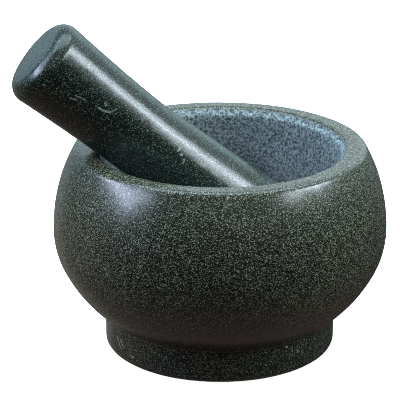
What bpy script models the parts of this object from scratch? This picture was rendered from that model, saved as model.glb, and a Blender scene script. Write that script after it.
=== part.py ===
"""A turned granite mortar on a foot ring, with its loose granite pestle standing in the bowl.

Metres, +Z up. The origin is the middle of the foot's flat underside, on the mortar's own axis.
The pestle leans in one upright plane through that axis: its handle end stands out over the rim,
its waist lies over the rim's inner lip, and its rounded grinding head sits in the bowl.
"""
import math

import bpy

MM = 0.001

# Mortar: one stone, turned about Z
MORTAR_HEIGHT = 111.5 * MM
BELLY_RADIUS = 90.0 * MM          # of the widest ring, and of the ball that the shoulder follows
BELLY_HEIGHT = 66.0 * MM          # of the widest ring
FLANK_RADIUS = 46.0 * MM          # tighter arc that starts below the widest ring
FLANK_ANGLE = math.radians(28.0)  # how far that arc turns before the flatter underside takes over
UNDERSIDE_RADIUS = 80.0 * MM
FOOT_RADIUS = 62.5 * MM
FOOT_COVE = 1.5 * MM              # small hollow fillet where the belly meets the foot
FOOT_EDGE = 3.0 * MM
RIM_EDGE = 3.0 * MM               # outer edge of the flat rim
LIP_EDGE = 5.0 * MM               # inner edge of the flat rim
BOWL_RADIUS = 64.5 * MM           # of the round bowl, and of the short straight wall above it
BOWL_CENTRE_HEIGHT = 98.0 * MM
MORTAR_SIDES = 64

# Pestle: one stone, turned about its own axis; stations are measured from the handle end
HANDLE_RADIUS = 24.3 * MM
HANDLE_EDGE = 8.0 * MM
HANDLE_CROWN_RADIUS = 240.0 * MM  # of the slightly domed end face
WAIST_RADIUS = 21.0 * MM
WAIST_STATION = 68.0 * MM
HANDLE_TAPER_POWER = 1.6          # 1 is a straight taper from handle to waist, more is hollowed
HEAD_RADIUS = 25.4 * MM           # of the ball that ends the grinding head
HEAD_STATION = 155.0 * MM         # of that ball's centre
PESTLE_SIDES = 36

# How the pestle stands in the mortar
PESTLE_SLOPE = math.radians(41.0)  # of its axis above level
PESTLE_TURN = math.radians(10.0)   # of its upright plane from -X towards -Y
REST_GAP = 0.4 * MM                # left where the two stones touch

GRANITE_COLOUR = (0.018, 0.026, 0.024, 1.0)
PESTLE_COLOUR = (0.016, 0.023, 0.021, 1.0)
POLISH = 0.35


def clear_scene():
    """Start from an empty file."""
    for item in list(bpy.data.objects):
        bpy.data.objects.remove(item, do_unlink=True)


def granite(name, colour):
    """Polished dark granite."""
    material = bpy.data.materials.new(name)
    material.use_nodes = True
    shader = material.node_tree.nodes["Principled BSDF"]
    shader.inputs["Base Color"].default_value = colour
    shader.inputs["Roughness"].default_value = POLISH
    shader.inputs["Metallic"].default_value = 0.0
    return material


def arc(centre, radius, start, end, steps):
    """Points (r, z) along an arc from angle start to angle end, in radians, both ends included."""
    turn = (end - start) / steps
    angles = [start + turn * step for step in range(steps + 1)]
    return [(centre[0] + radius * math.cos(a), centre[1] + radius * math.sin(a)) for a in angles]


def turned(name, outline, sides, material):
    """A solid of revolution about Z. The outline runs down the outer side, pole to pole."""
    corners = [outline[0]]
    for point in outline[1:]:
        if math.dist(point, corners[-1]) > 0.01 * MM:
            corners.append(point)
    mesh = bpy.data.meshes.new(name)
    edges = [(i, i + 1) for i in range(len(corners) - 1)]
    mesh.from_pydata([(r, 0.0, z) for r, z in corners], edges, [])
    mesh.materials.append(material)
    item = bpy.data.objects.new(name, mesh)
    bpy.context.scene.collection.objects.link(item)
    screw = item.modifiers.new("turning", "SCREW")
    screw.axis = "Z"
    screw.steps = sides
    screw.render_steps = sides
    screw.use_merge_vertices = True
    screw.merge_threshold = 0.01 * MM
    screw.use_smooth_shade = True
    return item


def bowl_outline():
    """The hollow, from the middle of its floor up to the flat of the rim."""
    hollow = arc((0.0, BOWL_CENTRE_HEIGHT), BOWL_RADIUS, math.radians(-90), 0.0, 10)
    hollow[0] = (0.0, BOWL_CENTRE_HEIGHT - BOWL_RADIUS)
    lip_centre = (BOWL_RADIUS + LIP_EDGE, MORTAR_HEIGHT - LIP_EDGE)
    lip = arc(lip_centre, LIP_EDGE, math.radians(180), math.radians(90), 4)
    return hollow + lip


def belly_outline():
    """The outside, from the flat of the rim down to the middle of the underside."""
    edge_height = MORTAR_HEIGHT - RIM_EDGE
    rise = edge_height - BELLY_HEIGHT
    edge_centre = (math.sqrt((BELLY_RADIUS - RIM_EDGE) ** 2 - rise ** 2), edge_height)
    shoulder_angle = math.atan2(rise, edge_centre[0])
    rim = arc(edge_centre, RIM_EDGE, math.radians(90), shoulder_angle, 3)
    shoulder = arc((0.0, BELLY_HEIGHT), BELLY_RADIUS, shoulder_angle, 0.0, 6)

    flank_centre = (BELLY_RADIUS - FLANK_RADIUS, BELLY_HEIGHT)
    flank = arc(flank_centre, FLANK_RADIUS, 0.0, -FLANK_ANGLE, 4)

    shift = UNDERSIDE_RADIUS - FLANK_RADIUS
    under_centre = (
        flank_centre[0] - shift * math.cos(FLANK_ANGLE),
        flank_centre[1] + shift * math.sin(FLANK_ANGLE),
    )
    cove_reach = FOOT_RADIUS + FOOT_COVE - under_centre[0]
    cove_drop = math.sqrt((UNDERSIDE_RADIUS + FOOT_COVE) ** 2 - cove_reach ** 2)
    cove_centre = (FOOT_RADIUS + FOOT_COVE, under_centre[1] - cove_drop)
    foot_angle = math.atan2(cove_drop, cove_reach)
    underside = arc(under_centre, UNDERSIDE_RADIUS, -FLANK_ANGLE, -foot_angle, 5)
    cove = arc(cove_centre, FOOT_COVE, math.pi - foot_angle, math.pi, 2)

    foot_centre = (FOOT_RADIUS - FOOT_EDGE, FOOT_EDGE)
    foot = arc(foot_centre, FOOT_EDGE, 0.0, math.radians(-90), 3)
    return rim + shoulder + flank + underside + cove + foot + [(0.0, 0.0)]


def pestle_radius(station):
    """Radius of the pestle's long side at a distance from its handle end."""
    if station < WAIST_STATION:
        share = 1.0 - station / WAIST_STATION
        return WAIST_RADIUS + (HANDLE_RADIUS - WAIST_RADIUS) * share ** HANDLE_TAPER_POWER
    share = (station - WAIST_STATION) / (HEAD_STATION - WAIST_STATION)
    swell = share * share * (3.0 - 2.0 * share)
    return WAIST_RADIUS + (HEAD_RADIUS - WAIST_RADIUS) * swell


def pestle_outline():
    """From the handle end's crown down to the head's pole, with z = 0 at the head ball's centre."""
    side_start = pestle_radius(HANDLE_EDGE)
    edge_centre = (side_start - HANDLE_EDGE, HEAD_STATION - HANDLE_EDGE)
    crown_drop = math.sqrt((HANDLE_CROWN_RADIUS - HANDLE_EDGE) ** 2 - edge_centre[0] ** 2)
    crown_centre = (0.0, edge_centre[1] - crown_drop)
    crown_angle = math.atan2(crown_drop, edge_centre[0])
    crown = arc(crown_centre, HANDLE_CROWN_RADIUS, math.radians(90), crown_angle, 2)
    crown[0] = (0.0, crown[0][1])
    edge = arc(edge_centre, HANDLE_EDGE, crown_angle, 0.0, 4)

    side_steps = 12
    step = (HEAD_STATION - HANDLE_EDGE) / side_steps
    stations = [HANDLE_EDGE + step * i for i in range(1, side_steps)]
    side = [(pestle_radius(station), HEAD_STATION - station) for station in stations]

    ball = arc((0.0, 0.0), HEAD_RADIUS, 0.0, math.radians(-90), 6)
    ball[-1] = (0.0, -HEAD_RADIUS)
    return crown + edge + side + ball


def head_centre():
    """Where the head ball's centre comes to rest, as (distance from the mortar's axis, height).

    The waist lies over the lip's rounding, and the ball lies in the round bowl.
    """
    along = (-math.cos(PESTLE_SLOPE), math.sin(PESTLE_SLOPE))
    across = (math.sin(PESTLE_SLOPE), math.cos(PESTLE_SLOPE))
    lip_centre = (-(BOWL_RADIUS + LIP_EDGE), MORTAR_HEIGHT - LIP_EDGE)
    over_lip = lip_centre[0] * across[0] + lip_centre[1] * across[1]
    over_lip += WAIST_RADIUS + LIP_EDGE + REST_GAP
    over_bowl = over_lip - BOWL_CENTRE_HEIGHT * across[1]
    reach = BOWL_RADIUS - HEAD_RADIUS - REST_GAP
    back = math.sqrt(reach ** 2 - over_bowl ** 2)
    out = over_bowl * across[0] - back * along[0]
    up = BOWL_CENTRE_HEIGHT + over_bowl * across[1] - back * along[1]
    return out, up


def make_mortar():
    outline = bowl_outline() + belly_outline()
    return turned("mortar", outline, MORTAR_SIDES, granite("mortar_granite", GRANITE_COLOUR))


def make_pestle():
    """Its origin is the head ball's centre, which rises straight up as the pestle is lifted out."""
    material = granite("pestle_granite", PESTLE_COLOUR)
    pestle = turned("pestle", pestle_outline(), PESTLE_SIDES, material)
    out, up = head_centre()
    pestle.location = (out * math.cos(PESTLE_TURN), out * math.sin(PESTLE_TURN), up)
    pestle.rotation_euler = (0.0, PESTLE_SLOPE - math.radians(90), PESTLE_TURN)
    return pestle


clear_scene()
make_mortar()
make_pestle()
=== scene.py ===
import math

import bpy
from mathutils import Matrix, Vector


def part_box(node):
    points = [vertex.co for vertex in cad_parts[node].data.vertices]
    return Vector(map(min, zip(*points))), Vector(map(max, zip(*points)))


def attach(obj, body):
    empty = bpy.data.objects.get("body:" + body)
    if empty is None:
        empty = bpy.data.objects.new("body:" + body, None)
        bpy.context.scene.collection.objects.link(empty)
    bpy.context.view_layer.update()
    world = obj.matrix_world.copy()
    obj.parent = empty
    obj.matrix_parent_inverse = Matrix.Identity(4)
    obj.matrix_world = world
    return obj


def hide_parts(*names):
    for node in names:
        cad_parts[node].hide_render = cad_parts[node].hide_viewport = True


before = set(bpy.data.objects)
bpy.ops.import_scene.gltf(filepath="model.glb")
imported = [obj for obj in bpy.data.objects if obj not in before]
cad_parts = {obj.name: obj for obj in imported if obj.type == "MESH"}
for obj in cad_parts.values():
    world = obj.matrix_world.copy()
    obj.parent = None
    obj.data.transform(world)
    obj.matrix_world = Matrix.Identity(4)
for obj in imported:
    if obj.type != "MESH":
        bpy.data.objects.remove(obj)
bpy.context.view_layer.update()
MM = 0.001

# ---------------------------------------------------------------------------------------------
# Camera. It stands in front of the mortar and looks down over the rim, so that the far wall of
# the bowl shows. A long lens keeps the round foot and the round rim in quiet perspective.
CAMERA_DISTANCE = 1.1
CAMERA_PITCH = math.radians(19.9)
CAMERA_SIDESTEP = -10.8 * MM
CAMERA_AIM_HEIGHT = 79.9 * MM
CAMERA_LENS = 183.4
SENSOR_WIDTH = 36.0

bpy.ops.object.select_all(action="DESELECT")
bpy.ops.object.camera_add(
    location=(
        CAMERA_SIDESTEP,
        -CAMERA_DISTANCE * math.cos(CAMERA_PITCH),
        CAMERA_AIM_HEIGHT + CAMERA_DISTANCE * math.sin(CAMERA_PITCH),
    ),
    rotation=(math.radians(90) - CAMERA_PITCH, 0.0, 0.0),
)
camera = bpy.context.active_object
camera.name = "camera"
camera.data.lens = CAMERA_LENS
camera.data.sensor_width = SENSOR_WIDTH
camera.data.clip_start = 0.01
camera.data.clip_end = 20.0
bpy.context.scene.camera = camera

# The grains are about as small as the picture can show, so nothing smooths them over.
bpy.context.scene.cycles.filter_width = 1.0
bpy.context.scene.cycles.use_denoising = False

# ---------------------------------------------------------------------------------------------
# Studio. A pale round floor sweeps up into a wall on every side. A long soft box stands on the
# left and a broad one on the right, each with a weaker wing, and a big one hangs overhead.
FLOOR_RADIUS = 3.0
FLOOR_SIDES = 96
SWEEP_RADIUS = 1.0
SWEEP_STEPS = 8
WALL_HEIGHT = 2.5
FLOOR_WHITE = (0.93, 0.93, 0.93, 1.0)
FLOOR_GLOW = 0.86
LAMP_DISTANCE = 2.0
LAMP_AIM = Vector((0.0, 0.0, 0.08))

# Name, azimuth, elevation, roll, width and height in degrees as seen from the bowl, and colour.
SOFT_BOXES = (
    ("left_box", 186.0, 24.0, -14.0, 38.0, 11.0, (9.0, 10.6, 13.8)),
    ("left_wing", 207.0, 28.0, -14.0, 16.0, 9.0, (4.0, 4.7, 5.8)),
    ("right_box", -3.0, 30.5, 0.0, 20.0, 13.0, (10.8, 12.7, 14.2)),
    ("right_wing", -23.0, 33.0, 8.0, 30.0, 10.0, (10.6, 12.2, 13.2)),
    ("ceiling", 90.0, 78.0, 0.0, 60.0, 40.0, (2.5, 3.4, 3.8)),
)

# The room behind the lights, as soft glows: azimuth, elevation, how narrow, and colour.
ROOM_GLOWS = (
    (85.0, 18.0, 12.0, (0.9, 1.1, 1.2)),
    (121.0, 12.0, 22.0, (0.38, 0.60, 0.74)),
    (57.0, 20.0, 22.0, (0.72, 1.08, 1.16)),
    (118.0, -22.0, 16.0, (0.24, 0.23, 0.19)),
    (-75.0, 52.0, 6.0, (0.46, 0.50, 0.45)),
    (20.0, 45.0, 8.0, (1.0, 1.15, 1.2)),
    (185.0, 42.0, 24.0, (3.2, 3.6, 5.0)),
    (160.0, 45.0, 8.0, (0.40, 0.70, 0.90)),
    (165.0, -15.0, 8.0, (0.16, 0.13, 0.08)),
    (0.0, -90.0, 2.0, (0.18, 0.135, 0.12)),
)


def step(tree, kind, inputs, **settings):
    """One node. inputs maps a socket's name or number to a value or to another node's output."""
    made = tree.nodes.new("ShaderNode" + kind)
    for name, value in settings.items():
        setattr(made, name, value)
    for socket, value in inputs.items():
        if isinstance(value, bpy.types.NodeSocket):
            tree.links.new(value, made.inputs[socket])
        else:
            made.inputs[socket].default_value = value
    return made


def maths(tree, operation, first, second):
    """The sum, product, power, smaller or larger of two values."""
    return step(tree, "Math", {0: first, 1: second}, operation=operation).outputs[0]


def vectors(tree, operation, first, second):
    """The sum, difference or product of two vectors or colours."""
    return step(tree, "VectorMath", {0: first, 1: second}, operation=operation).outputs[0]


def dot(tree, first, second):
    """How far one vector reaches along another."""
    return step(tree, "VectorMath", {0: first, 1: second}, operation="DOT_PRODUCT").outputs["Value"]


def scaled(tree, vector, times):
    """A vector or colour, this many times as long or bright."""
    return step(tree, "VectorMath", {0: vector, "Scale": times}, operation="SCALE").outputs[0]


def new_finish(name):
    """An empty material, and its tree with only the output left."""
    finish = bpy.data.materials.new(name)
    finish.use_nodes = True
    tree = finish.node_tree
    for item in list(tree.nodes):
        if item.type != "OUTPUT_MATERIAL":
            tree.nodes.remove(item)
    return finish, tree


def finish_with(tree, shader):
    """Make this shader what the material shows."""
    tree.links.new(shader.outputs[0], tree.nodes["Material Output"].inputs["Surface"])


def new_piece(name):
    """Take the primitive that was just added as a new piece of this name."""
    piece = bpy.context.active_object
    piece.name = name
    piece.data.name = name
    return piece


def toward(azimuth, elevation):
    """The direction of an azimuth and an elevation in degrees."""
    az, el = math.radians(azimuth), math.radians(elevation)
    return Vector((math.cos(el) * math.cos(az), math.cos(el) * math.sin(az), math.sin(el)))


def soft_box(name, azimuth, elevation, roll, wide, high, colour):
    """An area light that faces the bowl. Its energy makes its colour its brightness."""
    way = toward(azimuth, elevation)
    bpy.ops.object.select_all(action="DESELECT")
    bpy.ops.object.light_add(type="AREA", location=LAMP_AIM + way * LAMP_DISTANCE)
    lamp = bpy.context.active_object
    lamp.name = name
    facing = (-way).to_track_quat("-Z", "Y").to_matrix()
    lamp.rotation_euler = (facing @ Matrix.Rotation(math.radians(roll), 3, "Z")).to_euler()
    lamp.data.shape = "RECTANGLE"
    lamp.data.size = 2 * LAMP_DISTANCE * math.tan(math.radians(wide / 2))
    lamp.data.size_y = 2 * LAMP_DISTANCE * math.tan(math.radians(high / 2))
    lamp.data.energy = math.pi * lamp.data.size * lamp.data.size_y
    lamp.data.color = colour
    lamp.visible_camera = False


bpy.ops.object.select_all(action="DESELECT")
bpy.ops.mesh.primitive_circle_add(vertices=FLOOR_SIDES, radius=FLOOR_RADIUS, fill_type="TRIFAN")
floor = new_piece("floor")
bpy.ops.object.mode_set(mode="EDIT")
bpy.ops.mesh.select_all(action="DESELECT")
bpy.ops.mesh.select_mode(type="EDGE")
bpy.ops.mesh.select_non_manifold()
for rise in range(SWEEP_STEPS):
    before = math.radians(90) * rise / SWEEP_STEPS
    after = math.radians(90) * (rise + 1) / SWEEP_STEPS
    lift = SWEEP_RADIUS * (math.cos(before) - math.cos(after))
    inner = FLOOR_RADIUS + SWEEP_RADIUS * math.sin(before)
    spread = (FLOOR_RADIUS + SWEEP_RADIUS * math.sin(after)) / inner
    bpy.ops.mesh.extrude_region_move(TRANSFORM_OT_translate={"value": (0.0, 0.0, lift)})
    bpy.ops.transform.resize(value=(spread, spread, 1.0))
bpy.ops.mesh.extrude_region_move(TRANSFORM_OT_translate={"value": (0.0, 0.0, WALL_HEIGHT)})
bpy.ops.object.mode_set(mode="OBJECT")
bpy.ops.object.shade_smooth()
white, tree = new_finish("studio_white")
paper = step(tree, "BsdfDiffuse", {"Color": FLOOR_WHITE})
glow = step(tree, "Emission", {"Color": FLOOR_WHITE, "Strength": FLOOR_GLOW})
finish_with(tree, step(tree, "AddShader", {0: paper.outputs[0], 1: glow.outputs[0]}))
floor.data.materials.append(white)
floor.visible_diffuse = False
floor.visible_glossy = False

for values in SOFT_BOXES:
    soft_box(*values)

world = bpy.data.worlds.new("studio")
bpy.context.scene.world = world
world.use_nodes = True
tree = world.node_tree
tree.nodes.clear()
gaze = step(tree, "TexCoord", {}).outputs["Generated"]
room = (0.0, 0.0, 0.0)
for azimuth, elevation, narrow, colour in ROOM_GLOWS:
    facing = maths(tree, "MAXIMUM", dot(tree, gaze, toward(azimuth, elevation)), 0.0)
    glow = scaled(tree, colour, maths(tree, "POWER", facing, narrow))
    room = vectors(tree, "ADD", room, glow)
sky = step(tree, "Background", {0: room, 1: 1.0})
step(tree, "OutputWorld", {0: sky.outputs[0]})
bpy.context.scene.view_settings.view_transform = "Standard"

# ---------------------------------------------------------------------------------------------
# Mortar. One block of dark green granite, turned to a round belly on a foot ring and hollowed
# to a round bowl. The belly and the flat of the rim are polished, and the bowl is left ground.
low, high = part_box("mortar")
MORTAR_HEIGHT = high.z
BELLY_RADIUS = high.x
BELLY_HEIGHT = 66.0 * MM
FLANK_RADIUS = 46.0 * MM
FLANK_ANGLE = 28.0
UNDERSIDE_RADIUS = 80.0 * MM
FOOT_RADIUS = 62.5 * MM
FOOT_COVE = 1.5 * MM
FOOT_EDGE = 3.0 * MM
RIM_EDGE = 3.0 * MM
LIP_EDGE = 5.0 * MM
BOWL_RADIUS = 64.5 * MM
BOWL_CENTRE = 98.0 * MM
MORTAR_SIDES = 320
MORTAR_SPACING = 1.5 * MM
EDGE_SPACING = 0.8 * MM


def rounding(centre, radius, start, end, spacing):
    """Points (out, up) about spacing apart along an arc, from angle start to angle end in degrees."""
    start, end = math.radians(start), math.radians(end)
    steps = max(3, round(abs(end - start) * radius / spacing))
    angles = [start + (end - start) * i / steps for i in range(steps + 1)]
    return [(centre[0] + radius * math.cos(a), centre[1] + radius * math.sin(a)) for a in angles]


def evenly(outline, spacing):
    """The same outline with its long straight stretches cut up, and doubled points left out."""
    points = [outline[0]]
    for out, up in outline[1:]:
        here = points[-1]
        gap = math.hypot(out - here[0], up - here[1])
        cuts = max(1, round(gap / spacing))
        if gap < spacing / 20:
            continue
        points += [
            (here[0] + (out - here[0]) * i / cuts, here[1] + (up - here[1]) * i / cuts)
            for i in range(1, cuts + 1)
        ]
    return points


def turn_on_lathe(name, outline, sides):
    """Draw the outline as a chain of corners beside the axis, then spin it once round."""
    bpy.ops.object.select_all(action="DESELECT")
    out, up = outline[0]
    bpy.ops.mesh.primitive_plane_add(size=MM, location=(out, 0.0, up))
    piece = new_piece(name)
    bpy.ops.object.mode_set(mode="EDIT")
    bpy.ops.mesh.select_mode(type="VERT")
    bpy.ops.mesh.select_all(action="SELECT")
    bpy.ops.mesh.merge(type="CENTER")
    for next_out, next_up in outline[1:]:
        move = (next_out - out, 0.0, next_up - up)
        bpy.ops.mesh.extrude_region_move(TRANSFORM_OT_translate={"value": move})
        out, up = next_out, next_up
    bpy.ops.mesh.select_all(action="SELECT")
    bpy.ops.mesh.spin(steps=sides, angle=math.tau, center=(0.0, 0.0, 0.0), axis=(0.0, 0.0, 1.0))
    bpy.ops.mesh.select_all(action="SELECT")
    bpy.ops.mesh.remove_doubles(threshold=0.01 * MM)
    bpy.ops.mesh.normals_make_consistent(inside=False)
    bpy.ops.object.mode_set(mode="OBJECT")
    bpy.ops.object.transform_apply(location=True, rotation=True, scale=True)
    bpy.ops.object.shade_smooth()
    return piece


def mortar_outline():
    """From the middle of the bowl's floor, up over the rim, down the belly to the underside."""
    points = [(0.0, BOWL_CENTRE - BOWL_RADIUS)]
    points += rounding((0.0, BOWL_CENTRE), BOWL_RADIUS, -88.7, 0, MORTAR_SPACING)
    lip = (BOWL_RADIUS + LIP_EDGE, MORTAR_HEIGHT - LIP_EDGE)
    points += rounding(lip, LIP_EDGE, 180, 90, EDGE_SPACING)
    rise = MORTAR_HEIGHT - RIM_EDGE - BELLY_HEIGHT
    edge = (math.sqrt((BELLY_RADIUS - RIM_EDGE) ** 2 - rise**2), MORTAR_HEIGHT - RIM_EDGE)
    shoulder = math.degrees(math.atan2(rise, edge[0]))
    points += rounding(edge, RIM_EDGE, 90, shoulder, 0.6 * MM)
    points += rounding((0.0, BELLY_HEIGHT), BELLY_RADIUS, shoulder, 0, MORTAR_SPACING)
    flank = (BELLY_RADIUS - FLANK_RADIUS, BELLY_HEIGHT)
    points += rounding(flank, FLANK_RADIUS, 0, -FLANK_ANGLE, MORTAR_SPACING)
    shift = UNDERSIDE_RADIUS - FLANK_RADIUS
    under = (
        flank[0] - shift * math.cos(math.radians(FLANK_ANGLE)),
        flank[1] + shift * math.sin(math.radians(FLANK_ANGLE)),
    )
    reach = FOOT_RADIUS + FOOT_COVE - under[0]
    drop = math.sqrt((UNDERSIDE_RADIUS + FOOT_COVE) ** 2 - reach**2)
    slope = math.degrees(math.atan2(drop, reach))
    points += rounding(under, UNDERSIDE_RADIUS, -FLANK_ANGLE, -slope, MORTAR_SPACING)
    cove = (FOOT_RADIUS + FOOT_COVE, under[1] - drop)
    points += rounding(cove, FOOT_COVE, 180 - slope, 180, 0.4 * MM)
    points += rounding((FOOT_RADIUS - FOOT_EDGE, FOOT_EDGE), FOOT_EDGE, 0, -90, EDGE_SPACING)
    points += [(0.0, 0.0)]
    return evenly(points, MORTAR_SPACING)


mortar = turn_on_lathe("mortar_stone", mortar_outline(), MORTAR_SIDES)


def smooth_between(value, start, end):
    """0 before start, 1 after end, and an easy curve between them."""
    share = min(1.0, max(0.0, (value - start) / (end - start)))
    return share * share * (3.0 - 2.0 * share)


# The grinding starts just under the flat of the rim, and the foot is a shade less polished.
INSIDE_RADIUS = 70.0 * MM
INSIDE_HEIGHT = 25.0 * MM
FOOT_HONING = 0.03


def mortar_honing(point):
    """How matt the stone is left at a place: 0 is polished, 1 is ground."""
    if point.z < 0.2 * MM:
        return 1.0
    if math.hypot(point.x, point.y) < INSIDE_RADIUS and point.z > INSIDE_HEIGHT:
        return smooth_between(MORTAR_HEIGHT - point.z, 0.3 * MM, 1.8 * MM)
    return FOOT_HONING * smooth_between(-point.z, -18.0 * MM, -16.0 * MM)


def mark_honing(piece, rule):
    """Store how matt each corner is, for the finish to read."""
    marks = piece.data.attributes.new("honing", "FLOAT", "POINT")
    marks.data.foreach_set("value", [rule(corner.co) for corner in piece.data.vertices])


def displace(piece, label, depth, rule, texture=None):
    """Push the surface along its normals by depth, in places by a rule or a texture, and apply it."""
    change = piece.modifiers.new(label, "DISPLACE")
    change.strength = depth
    change.mid_level = 0.5 if texture else 0.0
    if texture:
        change.texture_coords = "LOCAL"
        change.texture = texture
    if rule:
        group = piece.vertex_groups.new(name=label)
        for corner in piece.data.vertices:
            group.add([corner.index], rule(corner.co), "REPLACE")
        change.vertex_group = label
    bpy.ops.object.select_all(action="DESELECT")
    bpy.context.view_layer.objects.active = piece
    piece.select_set(True)
    bpy.ops.object.modifier_apply(modifier=label)


def roughen(piece, label, grain, depth, rule=None):
    """Push the surface in and out by a cloudy pattern, with its lows about grain apart."""
    texture = bpy.data.textures.new(label, "CLOUDS")
    texture.noise_scale = grain
    displace(piece, label, depth, rule, texture)


# Short chips knocked out just under the lip: the angle of each, and half its width, in degrees.
LIP_CHIPS = (
    (12.0, 2.2), (19.0, 1.2), (27.0, 1.5), (33.0, 2.6), (38.0, 1.8), (44.0, 3.2), (49.0, 1.6),
    (58.0, 2.0), (66.0, 1.2), (75.0, 2.4), (84.0, 1.4), (91.0, 1.8), (104.0, 2.2), (-38.0, 1.4),
)
CHIP_DEPTH = 1.1 * MM


def lip_chip(point):
    """How much of a chip's depth is missing at a place: 0 away from the chips, 1 in their middles."""
    under = MORTAR_HEIGHT - point.z
    if math.hypot(point.x, point.y) > BOWL_RADIUS + LIP_EDGE or under > 4.5 * MM:
        return 0.0
    band = smooth_between(under, 0.6 * MM, 1.6 * MM)
    band *= 1.0 - smooth_between(under, 2.4 * MM, 4.0 * MM)
    here = math.degrees(math.atan2(point.y, point.x))
    return band * max(1.0 - smooth_between(abs(here - angle), wide * 0.4, wide) for angle, wide in LIP_CHIPS)


mark_honing(mortar, mortar_honing)
roughen(mortar, "hand_polishing", 22.0 * MM, 0.25 * MM)
displace(mortar, "lip_chips", -CHIP_DEPTH, lip_chip)
roughen(mortar, "bowl_pecking", 2.6 * MM, 0.35 * MM, mortar_honing)

# The stone: pale laths of feldspar 0.4 mm wide, lying two ways in a near-black green ground.
LATHS_PER_MM = (2.4, 3.6, 3.6)
LATH_TURNS = ((0.0, 0.3, 0.2), (1.1, 0.9, 0.4))
LATH_WOBBLE = 0.2
COOL_GRAIN = (0.92, 1.0, 0.96, 1.0)
WARM_GRAIN = (1.12, 1.0, 0.82, 1.0)
# Painted shade: the polished stone is painted darker towards the bottom, between these heights in mm and by
# these shares.
PAINTED_SHADE_HEIGHTS = (5.0, 90.0)
PAINTED_SHADE_LEVELS = (0.46, 1.0)
# Painted shade: the ground stone is painted darker lower down, as deep in the bowl, and a little lighter
# near the rim, between these heights in mm.
BOWL_SHADE_HEIGHTS = (76.0, 108.0)
BOWL_SHADE_LEVELS = (0.42, 1.08)
BRUISE = (0.48, 0.56, 0.50, 1.0)
BRUISE_STRENGTHS = (0.10, 0.68)
POLISHED_ROUGHNESS = (0.12, 0.34)
GROUND_ROUGHNESS = 0.40
RELIEF = 0.1 * MM
RELIEF_STRENGTHS = (0.10, 0.6)
STONE_IOR = 1.55

# The polished grains from the dark ground up, then the same stone ground: value, and colour.
POLISHED = (
    (0.00, 0.008, 0.010, 0.007),
    (0.70, 0.011, 0.014, 0.009),
    (0.76, 0.026, 0.029, 0.022),
    (0.89, 0.064, 0.070, 0.052),
    (0.93, 0.220, 0.232, 0.180),
    (1.00, 0.520, 0.540, 0.430),
)
HONED = (
    (0.36, 0.070, 0.105, 0.107),
    (0.46, 0.190, 0.250, 0.258),
    (0.56, 0.380, 0.465, 0.485),
    (0.66, 0.500, 0.590, 0.610),
)


def mapped(tree, value, source, target):
    """A value's place between the two ends of source, moved to target and held at its ends."""
    ends = {0: value, 1: source[0], 2: source[1], 3: target[0], 4: target[1]}
    return step(tree, "MapRange", ends).outputs[0]


def mixed(tree, share, first, second):
    """The first colour at share 0, the second at 1."""
    return step(tree, "MixRGB", {0: share, 1: first, 2: second}).outputs[0]


def ramp_of(tree, value, stops):
    """A colour for each value: the stops are (value, red, green, blue), and straight in between."""
    made = step(tree, "ValToRGB", {0: value})
    steps = made.color_ramp.elements
    steps[0].position, steps[1].position = stops[0][0], stops[-1][0]
    for stop in stops[1:-1]:
        steps.new(stop[0])
    for element, stop in zip(steps, stops):
        element.color = (*stop[1:], 1.0)
    return made.outputs[0]


def laths_of(tree, bent):
    """Three chance values for each lath of two crossing layers, the paler layer on top."""
    layers = []
    for turn in LATH_TURNS:
        grain = step(tree, "Mapping", {0: bent, "Rotation": turn, "Scale": LATHS_PER_MM}).outputs[0]
        layers.append(step(tree, "TexVoronoi", {"Vector": grain, "Scale": 1.0}).outputs["Color"])
    both = step(tree, "MixRGB", {0: 1.0, 1: layers[0], 2: layers[1]}, blend_type="LIGHTEN")
    return step(tree, "SeparateColor", {0: both.outputs[0]}).outputs


def bruises_of(tree, here, place, marks):
    """Where knocks have bruised the stone, along short lines that crumble away in places."""
    crumbs = step(tree, "TexNoise", {"Vector": place, "Scale": 1.6, "Detail": 1.0}).outputs[0]
    crumbs = mapped(tree, crumbs, (0.40, 0.55), BRUISE_STRENGTHS)
    bruise = 0.0
    for start, end, wide in marks:
        along = (end - start).normalized()
        gone = vectors(tree, "SUBTRACT", here, start)
        reach = maths(tree, "MAXIMUM", dot(tree, gone, along), 0.0)
        reach = maths(tree, "MINIMUM", reach, (end - start).length)
        nearest = scaled(tree, along, reach)
        away = step(tree, "VectorMath", {0: gone, 1: nearest}, operation="DISTANCE").outputs["Value"]
        near = mapped(tree, away, (wide, wide + 0.3), (1.0, 0.0))
        bruise = maths(tree, "MAXIMUM", bruise, near)
    return maths(tree, "MULTIPLY", bruise, crumbs)


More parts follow.
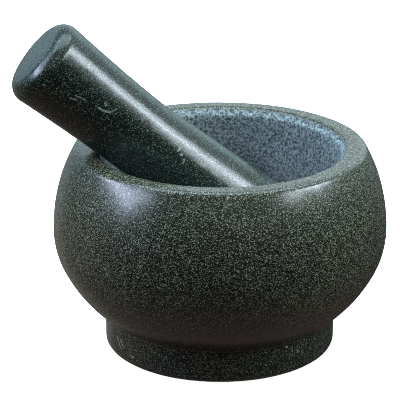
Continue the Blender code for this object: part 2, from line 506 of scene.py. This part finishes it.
def granite(name, seed, polished_stops, marks):
    """Fine granite in mm, polished where honing is 0 and ground where it is 1."""
    finish, tree = new_finish(name)
    here = scaled(tree, step(tree, "TexCoord", {}).outputs["Object"], 1000.0)
    place = vectors(tree, "ADD", here, seed)
    wobble = step(tree, "TexNoise", {"Vector": place, "Scale": 1.1, "Detail": 2.0, "Roughness": 0.6})
    wobble = vectors(tree, "SUBTRACT", wobble.outputs["Color"], (0.5, 0.5, 0.5))
    bent = vectors(tree, "ADD", place, scaled(tree, wobble, LATH_WOBBLE))
    height = step(tree, "SeparateXYZ", {0: here}).outputs["Z"]
    honing = step(tree, "Attribute", {}, attribute_name="honing").outputs["Fac"]

    # Polished, the laths show sharp, some warmer than others. Low down they are painted darker, as painted
    # shade.
    laths = laths_of(tree, bent)
    minerals = ramp_of(tree, laths[0], polished_stops)
    tint = mixed(tree, mapped(tree, laths[1], (0.55, 1.0), (0.0, 1.0)), COOL_GRAIN, WARM_GRAIN)
    minerals = vectors(tree, "MULTIPLY", minerals, tint)
    minerals = scaled(tree, minerals, mapped(tree, height, PAINTED_SHADE_HEIGHTS, PAINTED_SHADE_LEVELS))

    # Ground, the stone scatters light: the grains look bigger and softer. Lower down, as deep in the bowl,
    # they are painted darker as painted shade, and near the rim's height a shade lighter.
    noise = step(tree, "TexNoise", {"Vector": bent, "Scale": 0.75, "Detail": 1.5, "Roughness": 0.6})
    ground = mixed(tree, 0.2, ramp_of(tree, noise.outputs[0], HONED), minerals)
    ground = scaled(tree, ground, mapped(tree, height, BOWL_SHADE_HEIGHTS, BOWL_SHADE_LEVELS))

    # The whole block clouds a little from place to place.
    clouds = step(tree, "TexNoise", {"Vector": place, "Scale": 0.09, "Detail": 3.0})
    lift = mapped(tree, clouds.outputs[0], (0.3, 0.7), (0.93, 1.07))
    colour = scaled(tree, mixed(tree, honing, minerals, ground), lift)
    colour = mixed(tree, bruises_of(tree, here, place, marks), colour, BRUISE)

    shine = mapped(tree, laths[2], (0.3, 1.0), POLISHED_ROUGHNESS)
    rough = maths(tree, "ADD", shine, maths(tree, "MULTIPLY", honing, GROUND_ROUGHNESS))
    bumps = mixed(tree, honing, laths[0], noise.outputs[0])
    strength = mapped(tree, honing, (0.0, 1.0), RELIEF_STRENGTHS)
    relief = step(tree, "Bump", {"Strength": strength, "Distance": RELIEF, "Height": bumps})
    surface = {"Base Color": colour, "Roughness": rough, "Normal": relief.outputs[0], "IOR": STONE_IOR}
    finish_with(tree, step(tree, "BsdfPrincipled", surface))
    return finish


def round_the_mortar(azimuth, out, up):
    """A place on the mortar by its angle round the axis, its radius and its height, in mm."""
    turn = math.radians(azimuth)
    return Vector((out * math.cos(turn), out * math.sin(turn), up))


# Pale flecks and knocks, each from one place to another and this wide, in mm.
MORTAR_MARKS = (
    (round_the_mortar(-88.0, 79.0, 109.3), round_the_mortar(-87.5, 78.6, 109.6), 0.55),
    (round_the_mortar(-84.7, 89.6, 74.0), round_the_mortar(-84.4, 89.6, 74.0), 0.40),
    (round_the_mortar(-56.5, 62.5, 16.5), round_the_mortar(-56.0, 62.5, 16.5), 0.45),
    (round_the_mortar(-49.0, 62.5, 11.5), round_the_mortar(-49.0, 62.5, 12.0), 0.45),
    (round_the_mortar(-52.5, 62.5, 13.0), round_the_mortar(-52.5, 62.5, 13.3), 0.35),
    (round_the_mortar(-152.0, 62.5, 12.5), round_the_mortar(-149.0, 62.5, 7.5), 0.30),
    (round_the_mortar(-148.5, 62.5, 12.0), round_the_mortar(-146.0, 62.5, 8.5), 0.25),
    (round_the_mortar(-139.0, 62.5, 6.0), round_the_mortar(-138.0, 62.5, 6.0), 0.35),
)
mortar.data.materials.append(granite("mortar_granite_stone", (11.0, 3.0, 7.0), POLISHED, MORTAR_MARKS))
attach(mortar, "mortar")
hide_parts("mortar")

# ---------------------------------------------------------------------------------------------
# Pestle. One tapered granite bar, turned to a thick handle end with a rounded edge, a slim
# waist, and a fuller grinding head with a ball end. It leans in the bowl over the rim's lip.
HANDLE_RADIUS = 24.3 * MM
HANDLE_EDGE = 8.0 * MM
HANDLE_CROWN = 240.0 * MM
WAIST_RADIUS = 21.0 * MM
WAIST_STATION = 68.0 * MM
HANDLE_TAPER = 1.6
HEAD_RADIUS = 25.4 * MM
HEAD_STATION = 155.0 * MM
PESTLE_SLOPE = math.radians(41.0)
PESTLE_TURN = math.radians(10.0)
PESTLE_SIDES = 160
PESTLE_SPACING = 1.2 * MM
HEAD_HONING = 0.7
PESTLE_POLISHED = (
    (0.00, 0.004, 0.008, 0.007),
    (0.78, 0.006, 0.012, 0.011),
    (0.84, 0.014, 0.024, 0.020),
    (0.93, 0.030, 0.044, 0.037),
    (0.96, 0.105, 0.138, 0.112),
    (1.00, 0.320, 0.380, 0.310),
)

# Knocks and scratches on the long side: from a station and an angle round it to another, and
# how wide. Stations are in mm from the handle end.
PESTLE_MARKS = (
    (38.5, -85.0, 41.0, -85.0, 0.40),
    (41.0, -85.0, 45.0, -80.0, 0.50),
    (45.0, -80.0, 46.5, -72.0, 0.30),
    (40.5, -77.0, 39.5, -74.0, 0.40),
    (23.0, -98.0, 26.0, -95.0, 0.25),
    (24.5, -91.0, 30.0, -88.0, 0.25),
    (87.0, -65.0, 87.5, -60.0, 0.40),
    (89.5, -67.0, 90.0, -66.0, 0.50),
    (93.0, -75.0, 92.5, -70.0, 0.40),
    (7.5, -105.0, 8.5, -104.0, 0.35),
)


def pestle_radius(station):
    """Radius of the long side at a distance from the handle end."""
    if station < WAIST_STATION:
        share = 1.0 - station / WAIST_STATION
        return WAIST_RADIUS + (HANDLE_RADIUS - WAIST_RADIUS) * share**HANDLE_TAPER
    return WAIST_RADIUS + (HEAD_RADIUS - WAIST_RADIUS) * smooth_between(station, WAIST_STATION, HEAD_STATION)


def pestle_outline():
    """From the crown of the handle end down to the head's pole, with up = 0 at the ball's centre."""
    edge = (pestle_radius(HANDLE_EDGE) - HANDLE_EDGE, HEAD_STATION - HANDLE_EDGE)
    drop = math.sqrt((HANDLE_CROWN - HANDLE_EDGE) ** 2 - edge[0] ** 2)
    slope = math.degrees(math.atan2(drop, edge[0]))
    crown = (0.0, edge[1] - drop)
    points = [(0.0, crown[1] + HANDLE_CROWN)]
    points += rounding(crown, HANDLE_CROWN, 89.7, slope, PESTLE_SPACING)
    points += rounding(edge, HANDLE_EDGE, slope, 0, EDGE_SPACING)
    cuts = round((HEAD_STATION - HANDLE_EDGE) / PESTLE_SPACING)
    for i in range(1, cuts):
        station = HANDLE_EDGE + (HEAD_STATION - HANDLE_EDGE) * i / cuts
        points.append((pestle_radius(station), HEAD_STATION - station))
    points += rounding((0.0, 0.0), HEAD_RADIUS, 0, -87.5, PESTLE_SPACING)
    points.append((0.0, -HEAD_RADIUS))
    return evenly(points, PESTLE_SPACING)


def pestle_honing(point):
    """The grinding head is worn matt by use, and fades into the polish above it."""
    return HEAD_HONING * smooth_between(-point.z, -22.0 * MM, 6.0 * MM)


pestle = turn_on_lathe("pestle_stone", pestle_outline(), PESTLE_SIDES)
mark_honing(pestle, pestle_honing)
roughen(pestle, "pestle_polishing", 16.0 * MM, 0.2 * MM)

# It is laid over to its slope, turned, and moved so that its middle is the solid's middle.
pestle.rotation_euler = (0.0, PESTLE_SLOPE - math.radians(90), PESTLE_TURN)
lay = pestle.rotation_euler.to_matrix()
bpy.ops.object.transform_apply(location=True, rotation=True, scale=True)
low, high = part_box("pestle")
corners = [corner.co for corner in pestle.data.vertices]
mine_low = Vector([min(corner[axis] for corner in corners) for axis in range(3)])
mine_high = Vector([max(corner[axis] for corner in corners) for axis in range(3)])
shift = (low + high - mine_low - mine_high) / 2
pestle.location = shift
bpy.ops.object.transform_apply(location=True, rotation=True, scale=True)


def on_the_pestle(station, turn):
    """A place on the pestle's long side, in mm, by station and by angle round its axis."""
    turn, out = math.radians(turn), pestle_radius(station * MM)
    spot = Vector((out * math.cos(turn), out * math.sin(turn), HEAD_STATION - station * MM))
    return (lay @ spot + shift) / MM


marks = [(on_the_pestle(a, b), on_the_pestle(c, d), wide) for a, b, c, d, wide in PESTLE_MARKS]
pestle.data.materials.append(granite("pestle_granite_stone", (-5.0, 17.0, 2.0), PESTLE_POLISHED, marks))
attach(pestle, "pestle")
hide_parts("pestle")
